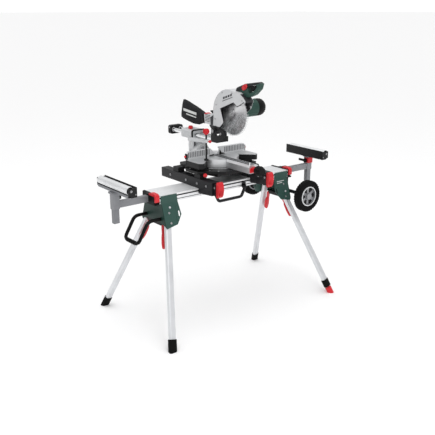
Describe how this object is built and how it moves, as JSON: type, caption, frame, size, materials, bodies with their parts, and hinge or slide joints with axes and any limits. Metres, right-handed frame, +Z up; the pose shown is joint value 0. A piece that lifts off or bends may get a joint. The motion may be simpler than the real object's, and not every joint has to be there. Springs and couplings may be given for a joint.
{
  "type": "mitre saw on stand",
  "caption": "Sliding compound mitre saw clamped on a folding stand with splayed legs, roller extensions, wheels and carry handle.",
  "frame": {"origin": "on the floor, under the middle of the object's bounding box", "axes": "+X along the stand's beam to the operator's right, -Y towards the operator, +Z up"},
  "size_m": [1.5084, 0.8618, 1.374],
  "materials": {
    "beam_aluminium": "satin extruded and machined aluminium",
    "leg_aluminium": "matt extruded aluminium",
    "black_plastic": "moulded black plastic, fine grain",
    "green_steel": "dark green powder coat",
    "dark_steel": "dark grey powder coat",
    "black_steel": "black powder coat",
    "black_casting": "black painted aluminium casting",
    "tyre_rubber": "solid rubber tyre",
    "foot_rubber": "moulded rubber",
    "red_plastic": "moulded red plastic",
    "white_casting": "light grey painted casting",
    "rail_steel": "ground and plated steel rails with a dark block and cap",
    "green_plastic": "moulded dark green plastic",
    "winding": "laminated steel with copper winding",
    "blade_steel": "ground steel disc",
    "clear_plastic": "clear moulded plastic",
    "bag_fabric": "woven black fabric"
  },
  "bodies": {
    "stand": {"beam": "beam_aluminium", "end_cap_left": "black_plastic", "end_cap_right": "black_plastic", "leg_housing_left": "green_steel", "leg_housing_right": "green_steel", "carry_handle": "black_plastic", "beam_handle": "black_plastic", "wheel_axle": "dark_steel"},
    "wheel_front": {"tyre_front": "tyre_rubber", "rim_front": "dark_steel"},
    "wheel_back": {"tyre_back": "tyre_rubber", "rim_back": "dark_steel"},
    "leg_front_left": {"leg_front_left": "leg_aluminium", "foot_cap_front_left": "foot_rubber"},
    "leg_lever_front_left": {"leg_lever_front_left": "red_plastic"},
    "leg_back_left": {"leg_back_left": "leg_aluminium", "foot_cap_back_left": "foot_rubber"},
    "leg_lever_back_left": {"leg_lever_back_left": "red_plastic"},
    "leg_front_right": {"leg_front_right": "leg_aluminium", "foot_cap_front_right": "foot_rubber"},
    "levelling_foot": {"levelling_foot": "red_plastic"},
    "leg_lever_front_right": {"leg_lever_front_right": "red_plastic"},
    "leg_back_right": {"leg_back_right": "leg_aluminium", "foot_cap_back_right": "foot_rubber"},
    "leg_lever_back_right": {"leg_lever_back_right": "red_plastic"},
    "extension_lever_left": {"extension_lever_left": "red_plastic"},
    "extension_left": {"extension_left": "dark_steel"},
    "support_post_left": {"support_post_left": "black_steel"},
    "roller_left": {"roller_left": "beam_aluminium"},
    "post_clamp_left": {"post_clamp_left": "red_plastic"},
    "extension_lever_right": {"extension_lever_right": "red_plastic"},
    "extension_right": {"extension_right": "dark_steel"},
    "support_post_right": {"support_post_right": "black_steel"},
    "roller_right": {"roller_right": "beam_aluminium"},
    "post_clamp_right": {"post_clamp_right": "red_plastic"},
    "saw": {"saw_mount_left": "black_steel", "saw_mount_right": "black_steel", "saw_base": "black_casting"},
    "mount_lever_left": {"mount_lever_left": "red_plastic"},
    "mount_lever_right": {"mount_lever_right": "red_plastic"},
    "turntable": {"turntable": "beam_aluminium"},
    "mitre_knob": {"mitre_knob": "black_plastic"},
    "table_wing_left": {"table_wing_left": "black_casting"},
    "fence_left": {"fence_left": "beam_aluminium"},
    "table_wing_right": {"table_wing_right": "black_casting"},
    "fence_right": {"fence_right": "beam_aluminium"},
    "bevel_arm": {"bevel_arm": "white_casting"},
    "rail_lock_knob": {"rail_lock_knob": "red_plastic"},
    "carriage": {"slide_rails": "rail_steel"},
    "head": {"blade_guard": "white_casting", "motor_housing": "green_plastic", "main_handle": "black_plastic", "dust_bag": "bag_fabric"},
    "blade": {"saw_blade": "blade_steel"},
    "armature": {"motor_armature": "winding"},
    "lower_guard": {"lower_guard": "clear_plastic"},
    "trigger": {"trigger": "black_plastic"},
    "lock_button": {"lock_button": "red_plastic"},
    "clamp": {"clamp_post": "beam_aluminium"},
    "clamp_screw": {"clamp_screw": "red_plastic"}
  },
  "joints": [
    {"name": "wheel_front_spin", "type": "hinge", "parent": "stand", "child": "wheel_front", "pos_m": [0.47475, -0.28705, 0.642], "axis": [0, 1, 0], "continuous": true},
    {"name": "wheel_back_spin", "type": "hinge", "parent": "stand", "child": "wheel_back", "pos_m": [0.47475, 0.20895, 0.642], "axis": [0, 1, 0], "continuous": true},
    {"name": "leg_front_left_fold", "type": "hinge", "parent": "stand", "child": "leg_front_left", "pos_m": [-0.44133, -0.102, 0.69], "axis": [0, -0.9136, 0.4066], "range_deg": [0, 104]},
    {"name": "leg_lever_front_left_press", "type": "hinge", "parent": "stand", "child": "leg_lever_front_left", "pos_m": [-0.46925, -0.10005, 0.609], "axis": [1, 0, 0], "range_deg": [0, 22], "stiffness_Nm_per_rad": 0.5, "springref_deg": -17.19},
    {"name": "leg_back_left_fold", "type": "hinge", "parent": "stand", "child": "leg_back_left", "pos_m": [-0.44133, 0.0239, 0.69], "axis": [0, -0.9136, -0.4066], "range_deg": [0, 104]},
    {"name": "leg_lever_back_left_press", "type": "hinge", "parent": "stand", "child": "leg_lever_back_left", "pos_m": [-0.46925, 0.02195, 0.609], "axis": [-1, 0, 0], "range_deg": [0, 22], "stiffness_Nm_per_rad": 0.5, "springref_deg": -17.19},
    {"name": "leg_front_right_fold", "type": "hinge", "parent": "stand", "child": "leg_front_right", "pos_m": [0.42666, -0.12425, 0.64], "axis": [0, 0.9136, -0.4066], "range_deg": [0, 104]},
    {"name": "levelling_foot_reach", "type": "slide", "parent": "leg_front_right", "child": "levelling_foot", "axis": [0.2451, -0.3942, -0.8858], "range_m": [-0.005, 0.02]},
    {"name": "leg_lever_front_right_press", "type": "hinge", "parent": "stand", "child": "leg_lever_front_right", "pos_m": [0.44075, -0.10005, 0.609], "axis": [1, 0, 0], "range_deg": [0, 22], "stiffness_Nm_per_rad": 0.5, "springref_deg": -17.19},
    {"name": "leg_back_right_fold", "type": "hinge", "parent": "stand", "child": "leg_back_right", "pos_m": [0.42666, 0.04615, 0.64], "axis": [0, 0.9136, 0.4066], "range_deg": [0, 104]},
    {"name": "leg_lever_back_right_press", "type": "hinge", "parent": "stand", "child": "leg_lever_back_right", "pos_m": [0.44075, 0.02195, 0.609], "axis": [-1, 0, 0], "range_deg": [0, 22], "stiffness_Nm_per_rad": 0.5, "springref_deg": -17.19},
    {"name": "extension_lever_left_lift", "type": "hinge", "parent": "stand", "child": "extension_lever_left", "pos_m": [-0.51725, -0.06305, 0.7805], "axis": [-1, 0, 0], "range_deg": [0, 100]},
    {"name": "extension_left_slide", "type": "slide", "parent": "stand", "child": "extension_left", "axis": [-1, 0, 0], "range_m": [-0.08, 0.35]},
    {"name": "support_post_left_raise", "type": "slide", "parent": "extension_left", "child": "support_post_left", "axis": [0, 0, 1], "range_m": [0, 0.07]},
    {"name": "roller_left_spin", "type": "hinge", "parent": "support_post_left", "child": "roller_left", "pos_m": [-0.72525, -0.03905, 0.858], "axis": [0, 1, 0], "continuous": true},
    {"name": "post_clamp_left_turn", "type": "hinge", "parent": "extension_left", "child": "post_clamp_left", "pos_m": [-0.70425, -0.03905, 0.79], "axis": [-1, 0, 0], "range_deg": [0, 40]},
    {"name": "extension_lever_right_lift", "type": "hinge", "parent": "stand", "child": "extension_lever_right", "pos_m": [0.48875, -0.06305, 0.7805], "axis": [-1, 0, 0], "range_deg": [0, 100]},
    {"name": "extension_right_slide", "type": "slide", "parent": "stand", "child": "extension_right", "axis": [1, 0, 0], "range_m": [-0.08, 0.35]},
    {"name": "support_post_right_raise", "type": "slide", "parent": "extension_right", "child": "support_post_right", "axis": [0, 0, 1], "range_m": [0, 0.07]},
    {"name": "roller_right_spin", "type": "hinge", "parent": "support_post_right", "child": "roller_right", "pos_m": [0.72525, -0.03905, 0.858], "axis": [0, 1, 0], "continuous": true},
    {"name": "post_clamp_right_turn", "type": "hinge", "parent": "extension_right", "child": "post_clamp_right", "pos_m": [0.70425, -0.03905, 0.79], "axis": [-1, 0, 0], "range_deg": [0, 40]},
    {"name": "saw_slide", "type": "slide", "parent": "stand", "child": "saw", "axis": [1, 0, 0], "range_m": [-0.03, 0.03]},
    {"name": "mount_lever_left_open", "type": "hinge", "parent": "saw", "child": "mount_lever_left", "pos_m": [-0.20125, -0.26935, 0.827], "axis": [-1, 0, 0], "range_deg": [0, 60]},
    {"name": "mount_lever_right_open", "type": "hinge", "parent": "saw", "child": "mount_lever_right", "pos_m": [0.17275, -0.26935, 0.827], "axis": [-1, 0, 0], "range_deg": [0, 60]},
    {"name": "mitre", "type": "hinge", "parent": "saw", "child": "turntable", "pos_m": [-0.01425, -0.00905, 0.9], "axis": [0, 0, 1], "range_deg": [-47, 47]},
    {"name": "mitre_knob_turn", "type": "hinge", "parent": "turntable", "child": "mitre_knob", "pos_m": [-0.01425, -0.36905, 0.892], "axis": [0, -1, 0], "range_deg": [0, 180]},
    {"name": "table_wing_left_slide", "type": "slide", "parent": "saw", "child": "table_wing_left", "axis": [-1, 0, 0], "range_m": [0, 0.06]},
    {"name": "fence_left_slide", "type": "slide", "parent": "saw", "child": "fence_left", "axis": [-1, 0, 0], "range_m": [0, 0.05]},
    {"name": "table_wing_right_slide", "type": "slide", "parent": "saw", "child": "table_wing_right", "axis": [1, 0, 0], "range_m": [0, 0.06]},
    {"name": "fence_right_slide", "type": "slide", "parent": "saw", "child": "fence_right", "axis": [1, 0, 0], "range_m": [0, 0.05]},
    {"name": "bevel", "type": "hinge", "parent": "turntable", "child": "bevel_arm", "pos_m": [-0.01425, 0.18695, 0.918], "axis": [0, -1, 0], "range_deg": [0, 22.5]},
    {"name": "rail_lock_turn", "type": "hinge", "parent": "bevel_arm", "child": "rail_lock_knob", "pos_m": [-0.03625, 0.22295, 1.05], "axis": [0, 0, 1], "range_deg": [0, 180]},
    {"name": "rail_slide", "type": "slide", "parent": "bevel_arm", "child": "carriage", "axis": [0, -1, 0], "range_m": [-0.15, 0.085]},
    {"name": "chop", "type": "hinge", "parent": "carriage", "child": "head", "pos_m": [-0.01425, -0.02705, 1.068], "axis": [1, 0, 0], "range_deg": [0, 53], "stiffness_Nm_per_rad": 7, "springref_deg": -68.75},
    {"name": "blade_spin", "type": "hinge", "parent": "head", "child": "blade", "pos_m": [-0.01425, -0.15005, 1.184], "axis": [1, 0, 0], "continuous": true},
    {"name": "armature_spin", "type": "hinge", "parent": "head", "child": "armature", "pos_m": [0.12575, -0.14205, 1.2], "axis": [1, 0, 0], "continuous": true},
    {"name": "lower_guard_retract", "type": "hinge", "parent": "head", "child": "lower_guard", "pos_m": [-0.01425, -0.15005, 1.184], "axis": [1, 0, 0], "range_deg": [0, 122]},
    {"name": "trigger_press", "type": "hinge", "parent": "head", "child": "trigger", "pos_m": [-0.00925, -0.30605, 1.347], "axis": [-1, 0, 0], "range_deg": [0, 6], "stiffness_Nm_per_rad": 0.3, "springref_deg": -11.46},
    {"name": "lock_button_press", "type": "slide", "parent": "head", "child": "lock_button", "axis": [1, 0, 0], "range_m": [0, 0.003], "stiffness_N_per_m": 400, "springref_m": -0.003},
    {"name": "clamp_swing", "type": "hinge", "parent": "saw", "child": "clamp", "pos_m": [-0.18825, 0.02295, 0.96], "axis": [0, 0, 1], "range_deg": [-25, 20]},
    {"name": "clamp_screw_raise", "type": "slide", "parent": "clamp", "child": "clamp_screw", "axis": [0, 0, 1], "range_m": [0, 0.08]}
  ],
  "couplings": [
    {"joint": "armature_spin", "follows": "blade_spin", "ratio": -4},
    {"joint": "lower_guard_retract", "follows": "chop", "ratio": 2.3}
  ]
}
